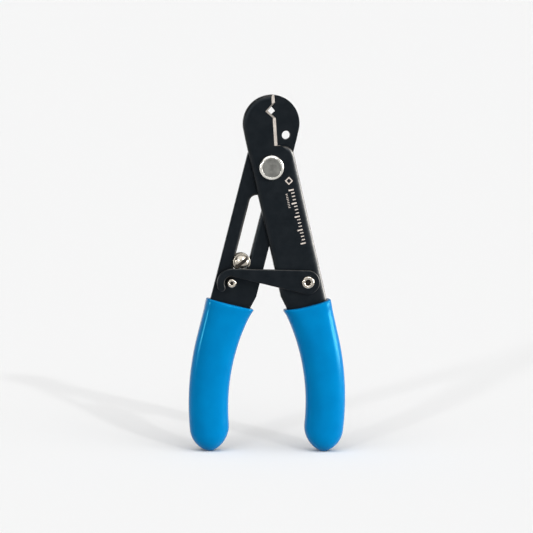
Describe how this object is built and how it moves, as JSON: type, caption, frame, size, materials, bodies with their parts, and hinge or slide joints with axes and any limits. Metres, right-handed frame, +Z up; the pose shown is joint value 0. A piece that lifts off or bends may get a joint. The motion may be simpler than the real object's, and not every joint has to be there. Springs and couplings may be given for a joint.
{
  "type": "wire stripper",
  "caption": "Adjustable plier-type wire stripper and cutter: black steel halves on a rivet, hooked latch, stop screw in a slot, return spring and blue vinyl grips",
  "frame": {"origin": "On the surface it stands on, midway between the grip tips, in the plane where the two steel halves meet", "axes": "+Z up from the grips to the jaws, the tool's longest extent; +Y out of the back, the shortest extent, so the rivet head, latch and screw head face -Y; +X to the right seen from the front"},
  "size_m": [0.0576, 0.0126, 0.1304],
  "materials": {
    "black_steel": "satin",
    "nickel": "polished",
    "spring_steel": "satin",
    "blue_vinyl": "glossy"
  },
  "bodies": {
    "rear_half": {"rear_plate": "black_steel", "left_grip": "blue_vinyl", "catch_pin": "nickel"},
    "pivot": {"pivot_rivet": "nickel", "pivot_washer": "nickel", "opening_spring": "spring_steel"},
    "front_half": {"front_plate": "black_steel", "right_grip": "blue_vinyl", "latch_rivet": "nickel"},
    "latch": {"latch": "black_steel"},
    "stop": {"stop_bush": "nickel", "stop_washer": "nickel", "stop_nut": "nickel"},
    "stop_screw": {"stop_screw": "nickel"}
  },
  "joints": [
    {"name": "handles_open", "type": "hinge", "parent": "rear_half", "child": "pivot", "pos_m": [0, 0, 0.1041], "axis": [0, -1, 0], "range_deg": [0, 18], "deforming": ["opening_spring"]},
    {"name": "handles_squeeze", "type": "hinge", "parent": "pivot", "child": "front_half", "pos_m": [0, 0, 0.1041], "axis": [0, -1, 0], "range_deg": [-7, 0], "stiffness_Nm_per_rad": 0.6, "springref_deg": 6.88, "deforming": ["opening_spring"]},
    {"name": "latch_swing", "type": "hinge", "parent": "front_half", "child": "latch", "pos_m": [0.0139, 0, 0.06235], "axis": [0, 1, 0], "range_deg": [0, 90]},
    {"name": "stop_slide", "type": "slide", "parent": "rear_half", "child": "stop", "axis": [0.236, 0, 0.9718], "range_m": [0, 0.0104]},
    {"name": "stop_screw_turn", "type": "hinge", "parent": "stop", "child": "stop_screw", "pos_m": [-0.01007, 0, 0.0694], "axis": [0, -1, 0], "range_deg": [0, 180]}
  ],
  "couplings": [
    {"joint": "latch_swing", "follows": "handles_open", "ratio": 5}
  ]
}
